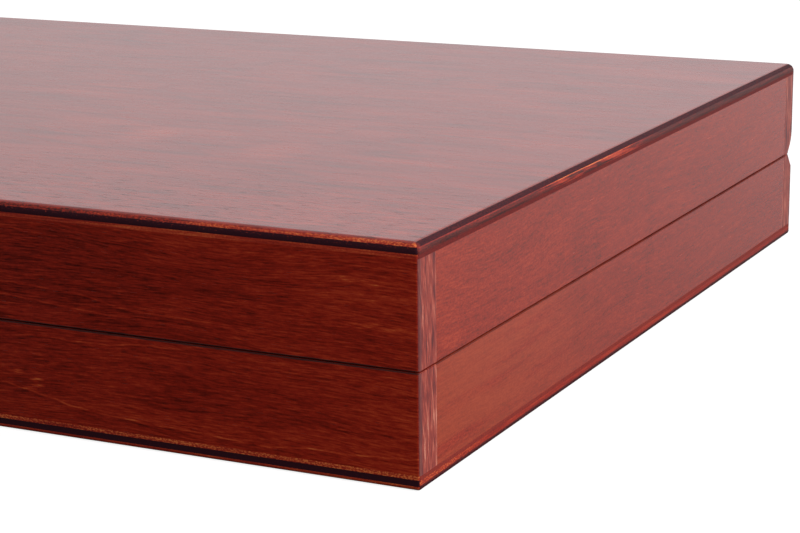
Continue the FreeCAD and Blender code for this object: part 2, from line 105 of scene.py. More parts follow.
# ---------------------------------------------------------------- node helpers
class Tree:
    """A small set of helpers for building a node tree. Lengths are millimetres."""

    def __init__(self, tree):
        self.t = tree
        tree.nodes.clear()

    def new(self, kind, **props):
        n = self.t.nodes.new(kind)
        for k, v in props.items():
            setattr(n, k, v)
        return n

    def put(self, socket, value):
        if isinstance(value, bpy.types.NodeSocket):
            self.t.links.new(value, socket)
        elif value is not None:
            if hasattr(socket.default_value, "__len__") and not hasattr(value, "__len__"):
                value = [value] * len(socket.default_value)
            if hasattr(socket.default_value, "__len__") and len(socket.default_value) == 4 and len(value) == 3:
                value = (*value, 1.0)
            socket.default_value = value

    def m(self, op, a, b=None, c=None, clamp=False):
        n = self.new("ShaderNodeMath", operation=op, use_clamp=clamp)
        for i, v in enumerate((a, b, c)):
            if v is not None:
                self.put(n.inputs[i], v)
        return n.outputs[0]

    def add(self, a, b): return self.m("ADD", a, b)
    def sub(self, a, b): return self.m("SUBTRACT", a, b)
    def mul(self, a, b): return self.m("MULTIPLY", a, b)
    def fma(self, a, b, c): return self.m("MULTIPLY_ADD", a, b, c)
    def inv(self, a): return self.m("SUBTRACT", 1.0, a)
    def abs(self, a): return self.m("ABSOLUTE", a)
    def max(self, a, b): return self.m("MAXIMUM", a, b)
    def min(self, a, b): return self.m("MINIMUM", a, b)

    def vm(self, op, a, b):
        n = self.new("ShaderNodeVectorMath", operation=op)
        self.put(n.inputs[0], a)
        self.put(n.inputs[1], b)
        return n.outputs["Value"] if op in ("DOT_PRODUCT", "DISTANCE", "LENGTH") else n.outputs["Vector"]

    def sep(self, v):
        n = self.new("ShaderNodeSeparateXYZ")
        self.put(n.inputs[0], v)
        return n.outputs[0], n.outputs[1], n.outputs[2]

    def xyz(self, x, y, z):
        n = self.new("ShaderNodeCombineXYZ")
        for i, v in enumerate((x, y, z)):
            self.put(n.inputs[i], v)
        return n.outputs[0]

    def step(self, v, a, b, lo=0.0, hi=1.0):
        """lo below a, hi above b, smooth between; a may be above b."""
        if isinstance(a, (int, float)) and isinstance(b, (int, float)) and a > b:
            a, b, lo, hi = b, a, hi, lo
        n = self.new("ShaderNodeMapRange", interpolation_type="SMOOTHSTEP", clamp=True)
        for name, val in (("Value", v), ("From Min", a), ("From Max", b), ("To Min", lo), ("To Max", hi)):
            self.put(n.inputs[name], val)
        return n.outputs[0]

    def line(self, v, a, b, lo=0.0, hi=1.0):
        n = self.new("ShaderNodeMapRange", interpolation_type="LINEAR", clamp=True)
        for name, val in (("Value", v), ("From Min", a), ("From Max", b), ("To Min", lo), ("To Max", hi)):
            self.put(n.inputs[name], val)
        return n.outputs[0]

    def noise(self, vec, detail=2.0, rough=0.5, distortion=0.0, scale=1.0):
        n = self.new("ShaderNodeTexNoise")
        self.put(n.inputs["Vector"], vec)
        self.put(n.inputs["Scale"], scale)
        self.put(n.inputs["Detail"], detail)
        self.put(n.inputs["Roughness"], rough)
        self.put(n.inputs["Distortion"], distortion)
        return n.outputs[0]

    def cells(self, vec, randomness=1.0, feature="F1"):
        n = self.new("ShaderNodeTexVoronoi", feature=feature)
        self.put(n.inputs["Vector"], vec)
        self.put(n.inputs["Scale"], 1.0)
        self.put(n.inputs["Randomness"], randomness)
        return n.outputs["Distance"], n.outputs["Color"]

    def mix(self, fac, a, b, mode="MIX"):
        n = self.new("ShaderNodeMix", data_type="RGBA", blend_type=mode, clamp_factor=True)
        self.put(n.inputs[0], fac)
        self.put(n.inputs[6], a)
        self.put(n.inputs[7], b)
        return n.outputs[2]

    def blend(self, fac, a, b):
        n = self.new("ShaderNodeMix", data_type="FLOAT", clamp_factor=True)
        self.put(n.inputs[0], fac)
        self.put(n.inputs[2], a)
        self.put(n.inputs[3], b)
        return n.outputs[0]

    def ramp(self, v, stops, mode="LINEAR"):
        n = self.new("ShaderNodeValToRGB")
        n.color_ramp.interpolation = mode
        el = n.color_ramp.elements
        el[0].position, el[0].color = stops[0][0], (*stops[0][1], 1.0)
        el[1].position, el[1].color = stops[-1][0], (*stops[-1][1], 1.0)
        for p, c in stops[1:-1]:
            e = el.new(p)
            e.color = (*c, 1.0)
        self.put(n.inputs[0], v)
        return n.outputs[0]

    def curve(self, v, points):
        """A smooth curve through points, whose coordinates are all 0 to 1."""
        n = self.new("ShaderNodeFloatCurve")
        c = n.mapping.curves[0]
        c.points[0].location = points[0]
        c.points[1].location = points[-1]
        for p in points[1:-1]:
            c.points.new(*p)
        n.mapping.update()
        self.put(n.inputs["Value"], v)
        return n.outputs[0]

    def spot(self, x, y, cx, cy, rx, ry):
        """1 at a centre, falling to 0 at the radii."""
        dx = self.mul(self.sub(x, cx), 1.0 / rx)
        dy = self.mul(self.sub(y, cy), 1.0 / ry)
        d = self.add(self.mul(dx, dx), self.mul(dy, dy))
        return self.step(d, 1.0, 0.0)


class Mat(Tree):
    def __init__(self, name):
        self.mat = bpy.data.materials.new(name)
        self.mat.use_nodes = True
        super().__init__(self.mat.node_tree)
        out = self.new("ShaderNodeOutputMaterial")
        self.bsdf = self.new("ShaderNodeBsdfPrincipled")
        self.t.links.new(self.bsdf.outputs[0], out.inputs[0])
        tc = self.new("ShaderNodeTexCoord")
        self.p = self.vm("MULTIPLY", tc.outputs["Object"], (1000.0, 1000.0, 1000.0))
        self.x, self.y, self.z = self.sep(self.p)
        self.nx, self.ny, self.nz = self.sep(tc.outputs["Normal"])

    def set(self, **inputs):
        for k, v in inputs.items():
            self.put(self.bsdf.inputs[k.replace("_", " ")], v)

    def bump(self, height, distance_mm, strength=1.0, normal=None):
        n = self.new("ShaderNodeBump")
        self.put(n.inputs["Strength"], strength)
        self.put(n.inputs["Distance"], distance_mm / 1000.0)
        self.put(n.inputs["Height"], height)
        if normal is not None:
            self.put(n.inputs["Normal"], normal)
        return n.outputs[0]


# ---------------------------------------------------------------- wood
LONG_GRAIN = [
    (0.00, (0.022, 0.0030, 0.0026)),
    (0.22, (0.100, 0.0070, 0.0042)),
    (0.50, (0.285, 0.0165, 0.0075)),
    (0.72, (0.430, 0.0430, 0.0140)),
    (1.00, (0.680, 0.1700, 0.0450)),
]
END_GRAIN = [
    (0.00, (0.030, 0.0070, 0.0120)),
    (0.30, (0.165, 0.0210, 0.0180)),
    (0.55, (0.330, 0.0460, 0.0290)),
    (0.80, (0.500, 0.1500, 0.0980)),
    (1.00, (0.780, 0.3600, 0.2500)),
]


def grain(g, u, v, w, seed, pith=(-45.0, 10.0), spacing=3.1, wander=1.0, pores=True):
    """The solid figure of a board whose grain runs along u. Returns a dict of fields, each 0 to 1."""
    s = float(seed)
    drift = g.mul(g.sub(g.noise(g.xyz(g.fma(u, 1 / 95.0, s * 3.7), g.fma(v, 1 / 34.0, s), g.fma(w, 1 / 34.0, s * 2.1)), 1.0), 0.5), 11.0 * wander)
    v2 = g.fma(drift, 0.45, v)
    w2 = g.add(w, drift)
    f = {}

    def band(lu, lv, k, detail=2.0, rough=0.5):
        return g.noise(g.xyz(g.fma(u, 1 / lu, s * 1.3 + k), g.fma(v2, 1 / lv, s * 0.7 + k), g.fma(w2, 1 / lv, s * 1.9 - k)), detail, rough)

    f["hair"] = band(4.4, 0.36, 11.3, 2.0, 0.6)
    f["thread"] = band(13.0, 0.55, 5.1, 2.0)
    f["band"] = band(75.0, 4.2, 2.7, 2.0)
    f["cloud"] = band(46.0, 17.0, 8.9, 2.0)
    dv, dw = g.sub(v2, pith[0]), g.sub(w2, pith[1])
    rad = g.m("SQRT", g.add(g.mul(dv, dv), g.mul(dw, dw)))
    rad = g.fma(g.sub(band(60.0, 13.0, 4.4, 1.0), 0.5), 4.0, rad)
    saw = g.m("FRACT", g.mul(rad, 1.0 / spacing))
    f["ring"] = g.mul(g.step(saw, 0.52, 0.93), g.step(saw, 1.0, 0.965))
    f["saw"] = saw
    if not pores:
        return f
    d, c = g.cells(g.xyz(g.fma(u, 1 / 4.2, s), g.fma(v2, 1 / 0.55, s * 2.0), g.fma(w2, 1 / 0.55, s * 3.0)))
    pick, _, pick2 = g.sep(c)
    f["pore"] = g.mul(g.step(d, 0.34, 0.14), g.step(pick, 0.66, 0.74))
    f["pick"] = pick2
    return f


def tone_of(g, f, base=0.47, hair=0.78, thread=0.42, band=0.26, cloud=0.22, ring=0.03, pore=0.08):
    t = g.fma(g.sub(f["hair"], 0.5), hair, base)
    t = g.fma(g.sub(f["thread"], 0.5), thread, t)
    t = g.fma(g.sub(f["band"], 0.5), band, t)
    t = g.fma(g.sub(f["cloud"], 0.5), cloud, t)
    t = g.fma(f["ring"], -ring, t)
    if "pore" in f:
        t = g.fma(f["pore"], -pore, t)
    return t


def grow_line(g, x, z, pts, width, base_z, fade=(None, None), wob=0.0):
    """A dark growth line z(x) on a long face; pts are (x, z) in millimetres."""
    t = g.line(x, -HALF_X, HALF_X)
    span = TOP / 2
    c = g.curve(t, [((px + HALF_X) / (2 * HALF_X), (pz - base_z) / span) for px, pz in pts])
    zl = g.fma(c, span, base_z)
    if wob:
        zl = g.fma(g.sub(g.noise(g.xyz(g.mul(x, 1 / 6.0), 0.0, base_z), 2.0), 0.5), wob, zl)
    d = g.sub(z, zl)
    core = g.mul(g.step(d, width * 0.5, width * 0.12), g.step(d, -width * 0.5, -width * 0.12))
    core = g.sub(core, g.mul(g.mul(g.step(d, -width * 0.3, -width * 0.7), g.step(d, -width * 3.2, -width * 0.9)), 0.5))
    if fade[0] is not None:
        core = g.mul(core, g.step(x, fade[0] - 8.0, fade[0] + 4.0))
    if fade[1] is not None:
        core = g.mul(core, g.step(x, fade[1] + 10.0, fade[1] - 6.0))
    return core


def board(name, along, seed, pith, tone_gain=None, lines=(), seam_painted_shade_k=0.9, tint=None, mottle_k=0.22, pits=-0.35, **contrast):
    g = Mat(name)
    if along == "x":
        u, v, w, nu = g.x, g.y, g.z, g.nx
    else:
        u, v, w, nu = g.y, g.x, g.z, g.ny
    f = grain(g, u, v, w, seed, pith, pores=pits is not None)
    t = tone_of(g, f, **contrast)
    mottle = g.noise(g.xyz(g.mul(u, 1 / 1.1), g.mul(v, 1 / 0.55), g.mul(w, 1 / 0.55)), 2.0, 0.65)
    t = g.fma(g.sub(mottle, 0.5), mottle_k, t)
    if tone_gain is not None:
        t = tone_gain(g, t)
    for pts, width, base_z, fade, depth in lines:
        core = grow_line(g, g.x, g.z, pts, width, base_z, fade, wob=0.9)
        gaps = g.step(g.noise(g.xyz(g.mul(g.x, 1 / 7.0), base_z, 2.0), 2.0, 0.6), 0.34, 0.62, 0.30, 1.0)
        t = g.fma(g.mul(core, gaps), depth, t)
    # edges: the stain is rubbed thin along the edges that hands touch at the seam; the seam's gap and chamfers are
    # darkened as painted shade
    seam_d = g.abs(g.sub(g.z, SEAM))
    rub_noise = g.noise(g.xyz(g.mul(u, 1 / 9.0), g.mul(v, 1 / 1.2), g.mul(w, 1 / 1.2)), 3.0, 0.6)
    near_end = g.sub(g.line(g.abs(g.x), 0.0, HALF_X, 0.0, HALF_X), HALF_X)     # 0 at the ends, negative inside
    side_gap = g.sub(g.line(g.abs(g.y), 0.0, HALF_Y, 0.0, HALF_Y), HALF_Y)
    # the vertical rounded corners, which get painted shade and painted reflection below
    arris_painted_sheen_shade = g.mul(g.step(g.add(near_end, side_gap), -2.0, -0.7), g.mul(g.step(g.abs(g.nz), 0.9, 0.7), g.step(g.abs(g.nx), 0.30, 0.75)))
    rub = g.mul(g.step(seam_d, 0.75, 0.25), g.step(rub_noise, 0.42, 0.62))
    t = g.fma(rub, 0.05, t)
    if pits is None:
        t = g.min(t, 0.70)
    long_col = g.ramp(t, LONG_GRAIN)
    if tint is not None:
        long_col = g.mix(tint[0], long_col, tint[1])
        glow = g.mul(g.mul(g.step(g.z, SEAM + 0.5, SEAM - 0.5), g.step(g.y, 0.0, -130.0)), g.step(f["band"], 0.25, 0.6))
        long_col = g.mix(g.mul(glow, 0.45), long_col, (0.350, 0.0640, 0.0230))
    # painted shade: the colour is darkened along the seam's gap and chamfers, and the gloss there made rougher
    seam_painted_shade = g.step(g.fma(g.sub(rub_noise, 0.5), 0.25, seam_d), 0.62, 0.36)
    seam_painted_shade = g.mul(seam_painted_shade, g.step(g.abs(g.nz), 0.90, 0.75))
    long_col = g.mix(g.mul(seam_painted_shade, seam_painted_shade_k), long_col, (0.012, 0.0030, 0.0030))
    # end grain: cut fibres, growth rings seen end on, with pores as dots
    dots_d, dots_c = g.cells(g.xyz(g.mul(v, 1 / 0.34), g.mul(w, 1 / 0.55), g.mul(u, 0.05)))
    lean = g.fma(w, 0.09, v)
    fleck = g.noise(g.xyz(g.mul(lean, 1 / 0.62), g.mul(w, 1 / 7.0), seed), 3.0, 0.65)
    wide = g.noise(g.xyz(g.mul(lean, 1 / 1.9), g.mul(w, 1 / 24.0), seed + 4.0), 2.0, 0.6)
    e = g.fma(g.sub(fleck, 0.5), 1.75, 0.49)
    e = g.fma(g.sub(wide, 0.5), 0.95, e)
    e = g.fma(f["ring"], -0.04, e)
    e = g.fma(g.step(dots_d, 0.30, 0.12), -0.08, e)
    joint = g.abs(g.sub(g.abs(g.y), HALF_Y - 10.0))
    e = g.fma(g.step(joint, 0.55, 0.20), 0.16, e)
    end_col = g.ramp(e, END_GRAIN)
    is_end = g.step(g.abs(nu), 0.55, 0.80)
    col = g.mix(is_end, long_col, end_col)
    # the rounded corner between a face and an end is darker and greyer: painted shade and painted reflection in the
    # colour
    col = g.mix(g.mul(arris_painted_sheen_shade, 0.75), col, (0.115, 0.032, 0.034))
    g.set(Base_Color=col)
    rough = g.fma(g.sub(f["thread"], 0.5), 0.16, 0.23)
    if "pore" in f:
        rough = g.fma(f["pore"], 0.05, rough)
    rough = g.fma(is_end, 0.20, rough)
    rough = g.fma(seam_painted_shade, 0.65, rough)
    g.set(Roughness=rough, IOR=1.5)
    h = g.mul(f["hair"], 0.55)
    if "pore" in f:
        h = g.fma(f["pore"], pits, h)
    h = g.fma(g.step(dots_d, 0.30, 0.12), g.mul(is_end, -0.8), h)
    peel = g.noise(g.vm("MULTIPLY", g.p, (0.6, 0.6, 0.6)), 1.0)
    nrm = g.bump(peel, 0.030, 0.5)
    nrm = g.bump(h, 0.030 if pits is not None else 0.018, 0.55, nrm)
    g.set(Normal=nrm)
    return g.mat


def front_gain(g, t):
    # brighter towards the right corner, partly the figure and partly painted light falling off from the lamp near that
    # corner; with a few darker clouds on the lid
    t = g.add(t, g.line(g.x, 90.0, HALF_X, -0.03, 0.05))
    t = g.fma(g.spot(g.x, g.z, 150.0, 49.0, 26.0, 7.0), -0.05, t)
    t = g.fma(g.spot(g.x, g.z, 112.0, 45.0, 44.0, 15.0), -0.05, t)
    t = g.fma(g.spot(g.x, g.z, 172.0, 46.0, 22.0, 13.0), -0.09, t)
    rag = g.noise(g.xyz(g.mul(g.x, 1 / 5.0), 0.0, g.mul(g.z, 1 / 0.6)), 2.0, 0.6)
    for cx, cz, rx, rz, k in ((176.0, 43.5, 20.0, 1.3, 0.16), (210.0, 41.5, 14.0, 1.2, 0.20),
                              (206.0, 53.0, 14.0, 1.2, 0.16), (190.0, 57.0, 28.0, 1.0, 0.10),
                              (99.8, 17.0, 2.2, 0.8, 0.34), (105.6, 15.2, 3.2, 0.9, 0.40), (106.0, 13.6, 2.6, 0.7, 0.36),
                              (103.0, 12.6, 3.5, 0.8, 0.20), (96.5, 18.6, 3.4, 0.5, 0.16)):
        t = g.fma(g.mul(g.spot(g.x, g.z, cx, cz, rx, rz), g.step(rag, 0.34, 0.60)), k, t)
    return t


def right_gain(g, t):
    low_near = g.mul(g.step(g.z, SEAM + 0.5, SEAM - 0.5), g.step(g.y, -20.0, -120.0))
    t = g.add(t, g.fma(low_near, 0.075, 0.02))
    for cy, cz, ry, rz, k in ((-52.0, 30.0, 9.0, 30.0, -0.06), (-38.0, 34.0, 4.0, 24.0, -0.05), (6.0, 34.0, 6.0, 24.0, -0.06),
                              (-140.0, 34.5, 9.0, 2.6, 0.13), (-120.0, 45.0, 24.0, 3.0, 0.04), (-105.0, 18.0, 30.0, 3.0, -0.04)):
        t = g.fma(g.spot(g.y, g.z, cy, cz, ry, rz), k, t)
    return t


B, L_ = 0.0, TOP / 2
FRONT_LINES = [
    ([(-221, 41), (-120, 46), (0, 52), (60, 56.6), (96, 57.2), (111.5, 56.1), (129, 56.4), (142, 57.4), (221, 59)], 0.65, L_, (None, 142), 0.14),
    ([(-221, 52), (-60, 45), (60, 39.6), (99, 38.1), (114, 37.1), (128, 36.2), (150, 35.6), (221, 35)], 0.65, L_, (None, 130), 0.18),
    ([(-221, 56), (-40, 50), (60, 43.5), (94, 42.0), (110, 41.4), (120, 40.8), (128.5, 39.3), (133, 38.5), (141, 37.8), (152, 37.5), (165, 37.3), (221, 36.4)], 0.70, L_, (None, 162), 0.19),
    ([(-221, 21), (-60, 24), (60, 26), (94, 26.8), (108, 27.8), (119, 27.6), (129, 27.8), (138, 28.7), (148.5, 29.1), (160, 29.6), (221, 30)], 0.65, B, (None, 155), 0.16),
    ([(-221, 17), (-100, 14), (40, 17), (85, 14.5), (107, 11.3), (119, 9.0), (137, 7.6), (157, 6.9), (177, 6.1), (189, 7.0), (205, 7.3), (221, 8.4)], 0.75, B, (None, None), 0.20),
]
wood_front = board("wood_front", "x", 3.0, (-215.0, 12.0), front_gain, FRONT_LINES)
wood_back = board("wood_back", "x", 9.0, (215.0, 20.0))
wood_right = board("wood_right", "y", 5.0, (150.0, 26.0), right_gain, seam_painted_shade_k=0.62, tint=(0.30, (0.310, 0.0450, 0.0200)), mottle_k=0.70, pits=None, hair=0.62, thread=0.34, band=0.24)
wood_left = board("wood_left", "y", 14.0, (-150.0, 20.0), seam_painted_shade_k=0.62, tint=(0.25, (0.310, 0.0420, 0.0180)), mottle_k=0.55, pits=None, hair=0.60, thread=0.32)


def ply(name, seed, along, has_face=False, core=False):
    g = Mat(name)
    if along == "x":
        u, v, w = g.x, g.y, g.z
        end_n, long_n = g.nx, g.ny
    else:
        u, v, w = g.y, g.x, g.z
        end_n, long_n = g.ny, g.nx
    f = grain(g, u, v, w, seed, (300.0, -40.0), 4.6, wander=1.4, pores=False)
    s = float(seed)
    # flat face of the panel
    t = tone_of(g, f, base=0.50, hair=0.20, thread=0.30, band=0.30, cloud=0.30, ring=0.04, pore=0.0)
    fleck = g.noise(g.xyz(g.fma(u, 1 / 5.5, s), g.fma(v, 1 / 0.9, s), 0.0), 2.0, 0.55)
    near_front = g.step(g.y, -80.0, -HALF_Y)
    fleck_dark = g.mul(g.step(fleck, 0.58, 0.70), g.fma(near_front, 0.72, 0.20))
    t = g.fma(fleck_dark, -0.26, t)
    soft = g.noise(g.xyz(g.fma(u, 1 / 9.0, s), g.fma(v, 1 / 1.6, s), 4.0), 2.0, 0.6)
    t = g.fma(g.sub(soft, 0.5), g.fma(near_front, 0.55, 0.10), t)
    wave = g.noise(g.xyz(g.fma(u, 1 / 120.0, s), g.fma(v, 1 / 26.0, s), 9.0), 1.0)
    rings = g.m("FRACT", g.fma(wave, 7.0, g.mul(v, 1 / 23.0)))
    t = g.fma(g.mul(g.step(rings, 0.55, 0.92), g.step(rings, 1.0, 0.95)), -0.07, t)
    glow = g.add(g.spot(g.x, g.y, 80.0, -59.0, 11.0, 15.0), g.spot(g.x, g.y, 130.0, -65.0, 13.0, 17.0))
    pale = g.noise(g.xyz(g.mul(u, 1 / 30.0), g.mul(v, 1 / 8.0), 3.3), 2.0)
    t = g.fma(g.mul(glow, pale), 0.20, t)
    face_col = g.ramp(t, LONG_GRAIN)
    # edges
    spk = g.noise(g.xyz(g.mul(g.x, 1 / 0.7), g.mul(g.y, 1 / 0.7), g.mul(g.z, 1 / 0.35)), 2.0, 0.7)
    run = g.noise(g.xyz(g.mul(u, 1 / 14.0), g.mul(v, 1 / 2.0), g.mul(w, 1 / 0.5)), 3.0, 0.6)
    if core:
        long_t = g.fma(g.sub(run, 0.5), 0.7, 0.17)
        long_t = g.fma(g.sub(spk, 0.5), 0.6, long_t)
        bright = g.mul(g.mul(g.step(g.y, -95.0, -60.0), g.step(g.y, 6.0, -14.0)), g.step(g.z, SEAM, SEAM + 1.0))
        long_t = g.fma(g.mul(bright, g.step(run, 0.36, 0.58)), 0.44, long_t)
        lit = g.mul(g.step(g.z, TOP - 1.55, TOP - 1.25), g.step(g.y, 40.0, -30.0))
        long_t = g.fma(lit, 0.26, long_t)
        in_base = g.step(g.z, SEAM, SEAM - 1.0)
        long_t = g.fma(in_base, 0.34, long_t)
        end_t = g.fma(g.sub(spk, 0.5), 0.45, -0.04)
        # painted highlight: glints of the lacquer on the upper end grain, made lighter in the colour
        painted_glints = g.mul(g.step(spk, 0.60, 0.70), g.step(g.z, TOP - 2.4, TOP - 1.5))
        end_t = g.fma(painted_glints, 0.40, end_t)
        foot = g.step(g.z, 1.75, 1.35)
        long_t = g.fma(foot, -0.34, long_t)
        toe = g.mul(g.mul(g.step(g.y, -105.0, -150.0), in_base), g.step(spk, 0.44, 0.60))
        long_t = g.fma(g.mul(toe, g.inv(foot)), 0.30, long_t)
    else:
        long_t = g.fma(g.sub(run, 0.5), 1.0, 0.50)
        long_t = g.fma(g.sub(spk, 0.5), 0.7, long_t)
        topside = g.step(g.z, TOP - 2.0, TOP - 1.0)
        long_t = g.add(long_t, g.blend(topside, g.line(g.x, 120.0, HALF_X - 10.0, 0.10, 0.16), g.line(g.x, 105.0, HALF_X - 6.0, -0.16, 0.26)))
        long_t = g.fma(g.mul(topside, g.sub(g.step(spk, 0.40, 0.62), 0.6)), 0.26, long_t)
        low_side = g.mul(g.step(g.z, SEAM, SEAM - 1.0), g.step(g.z, 1.1, 1.5))
        high_side = g.mul(g.step(g.z, SEAM, SEAM + 1.0), g.step(g.z, TOP - 1.5, TOP - 2.5))
        end_t = g.fma(g.sub(spk, 0.5), 0.45, g.fma(low_side, 0.34, g.fma(high_side, 0.20, 0.05)))
        long_t = g.fma(low_side, g.fma(g.step(spk, 0.42, 0.62), 0.30, -0.06), long_t)
        # painted highlight on the worn top corner: its long and end grain made lighter
        corner = g.mul(g.mul(g.step(g.x, HALF_X - 3.0, HALF_X - 0.8), g.step(g.y, -HALF_Y + 3.0, -HALF_Y + 0.8)), topside)
        long_t = g.fma(corner, 0.22, long_t)
        end_t = g.fma(corner, 0.30, end_t)
    long_col = g.ramp(long_t, LONG_GRAIN)
    end_col = g.ramp(end_t, END_GRAIN)
    edge_col = g.mix(g.step(g.sub(g.abs(end_n), g.abs(long_n)), -0.15, 0.15), long_col, end_col)
    is_edge = g.max(g.step(g.abs(g.nz), 0.93, 0.80), g.mul(g.step(g.abs(g.nz), 0.965, 0.915), g.step(g.abs(end_n), 0.06, 0.14)))
    col = g.mix(is_edge, face_col, edge_col)
    g.set(Base_Color=col)
    rough = g.fma(g.sub(f["thread"], 0.5), 0.12, 0.25)
    rough = g.fma(fleck_dark, 0.12, rough)
    rough = g.fma(is_edge, 0.26, rough)
    end_k = g.step(g.sub(g.abs(end_n), g.abs(long_n)), -0.15, 0.15)
    g.set(Roughness=rough, IOR=1.5, Specular_IOR_Level=g.fma(is_edge, g.fma(end_k, -0.20, -0.24), 0.50))
    h = g.fma(fleck_dark, -0.8, g.mul(f["hair"], 0.35))
    h = g.fma(g.mul(spk, is_edge), 0.8, h)
    peel = g.noise(g.vm("MULTIPLY", g.p, (0.5, 0.5, 0.5)), 1.0)
    nrm = g.bump(peel, 0.030, 0.4)
    nrm = g.bump(h, 0.025, 0.5, nrm)
    g.set(Normal=nrm)
    return g.mat


ply_face = ply("ply_face", 21.0, "x", has_face=True)
ply_core = ply("ply_core", 33.0, "y", core=True)
ply_inner = ply("ply_inner", 27.0, "x")


# ---------------------------------------------------------------- metals
def brushed(name, colour, dark, rough, along="x", coarse=1.0):
    g = Mat(name)
    if along == "x":
        vec = g.xyz(g.mul(g.x, 1 / 9.0), g.mul(g.y, 1 / (0.10 * coarse)), g.mul(g.z, 1 / (0.10 * coarse)))
    else:
        vec = g.xyz(g.mul(g.x, 1 / (0.10 * coarse)), g.mul(g.y, 1 / (0.10 * coarse)), g.mul(g.z, 1 / 9.0))
    lines = g.noise(vec, 2.0, 0.6)
    patina = g.noise(g.vm("MULTIPLY", g.p, (0.22, 0.22, 0.22)), 4.0, 0.62)
    spots = g.noise(g.vm("MULTIPLY", g.p, (1.6, 1.6, 1.6)), 2.0, 0.6)
    k = g.mul(g.step(patina, 0.42, 0.70), 0.55)
    k = g.fma(g.step(spots, 0.60, 0.74), 0.25, k)
    col = g.mix(k, colour, dark)
    col = g.mix(g.mul(g.step(lines, 0.5, 0.75), 0.18), col, tuple(min(1.0, c * 1.25) for c in colour))
    g.set(Base_Color=col, Metallic=1.0)
    r = g.fma(g.sub(lines, 0.5), 0.25, rough)
    r = g.fma(k, 0.22, r)
    g.set(Roughness=r)
    g.set(Normal=g.bump(lines, 0.012, 0.6))
    return g.mat


brass = brushed("hinge_brass_brushed", (0.83, 0.58, 0.25), (0.36, 0.22, 0.085), 0.27)
screw_brass = brushed("screw_brass_turned", (0.86, 0.62, 0.28), (0.40, 0.25, 0.10), 0.24, coarse=0.7)
steel = brushed("pin_steel_ground", (0.62, 0.61, 0.60), (0.25, 0.24, 0.235), 0.30)
nickel = brushed("magnet_nickel_plate", (0.74, 0.72, 0.68), (0.44, 0.42, 0.39), 0.20, coarse=1.6)


# ---------------------------------------------------------------- linings
def velvet():
    g = Mat("velvet_navy")
    nap = g.noise(g.xyz(g.mul(g.x, 1 / 34.0), g.mul(g.y, 1 / 22.0), g.mul(g.z, 1 / 20.0)), 3.0, 0.6)
    brushmark = g.noise(g.xyz(g.mul(g.x, 1 / 9.0), g.mul(g.y, 1 / 3.0), g.mul(g.z, 1 / 3.0)), 2.0, 0.5, 0.6)
    fibre = g.noise(g.vm("MULTIPLY", g.p, (3.2, 3.2, 3.2)), 2.0, 0.7)
    t = g.fma(g.sub(nap, 0.5), 0.9, 0.5)
    t = g.fma(g.sub(brushmark, 0.5), 0.5, t)
    t = g.fma(g.sub(fibre, 0.5), 0.5, t)
    col = g.ramp(t, [(0.0, (0.004, 0.006, 0.020)), (0.45, (0.010, 0.016, 0.052)), (0.75, (0.018, 0.030, 0.095)), (1.0, (0.040, 0.060, 0.150))])
    g.set(Base_Color=col, Roughness=g.fma(g.sub(nap, 0.5), 0.12, 0.88), IOR=1.35)
    g.set(Specular_IOR_Level=0.2, Sheen_Weight=0.85, Sheen_Roughness=0.38, Sheen_Tint=(0.30, 0.40, 0.85))
    g.set(Normal=g.bump(g.fma(brushmark, 0.5, fibre), 0.30, 0.75))
    return g.mat


def satin():
    g = Mat("satin_navy")
    # a satin weave: long floats along x, 0.35 mm apart, each crossed at a shifted place
    warp = g.m("SINE", g.mul(g.y, 2 * math.pi / 0.36))
    row = g.m("FLOOR", g.mul(g.y, 1 / 0.36))
    shift = g.m("FRACT", g.mul(row, 0.4))
    weft = g.m("SINE", g.mul(g.add(g.mul(g.x, 1 / 1.6), shift), 2 * math.pi))
    weave = g.add(g.mul(warp, 0.6), g.mul(g.step(weft, 0.55, 0.95), 0.5))
    slub = g.noise(g.xyz(g.mul(g.x, 1 / 26.0), g.mul(g.y, 1 / 0.5), g.mul(g.z, 1 / 6.0)), 2.0, 0.6)
    tone = g.noise(g.vm("MULTIPLY", g.p, (0.03, 0.03, 0.03)), 2.0)
    t = g.fma(g.sub(slub, 0.5), 0.7, 0.5)
    t = g.fma(g.sub(tone, 0.5), 0.5, t)
    t = g.fma(weave, 0.05, t)
    col = g.ramp(t, [(0.0, (0.008, 0.016, 0.060)), (0.5, (0.018, 0.040, 0.140)), (1.0, (0.045, 0.085, 0.240))])
    g.set(Base_Color=col, Roughness=g.fma(g.sub(slub, 0.5), 0.16, 0.36), IOR=1.5)
    g.set(Specular_IOR_Level=0.6, Anisotropic=0.5, Sheen_Weight=0.25, Sheen_Roughness=0.3, Sheen_Tint=(0.5, 0.6, 0.95))
    g.set(Normal=g.bump(weave, 0.030, 0.5))
    return g.mat


velvet_mat, satin_mat = velvet(), satin()


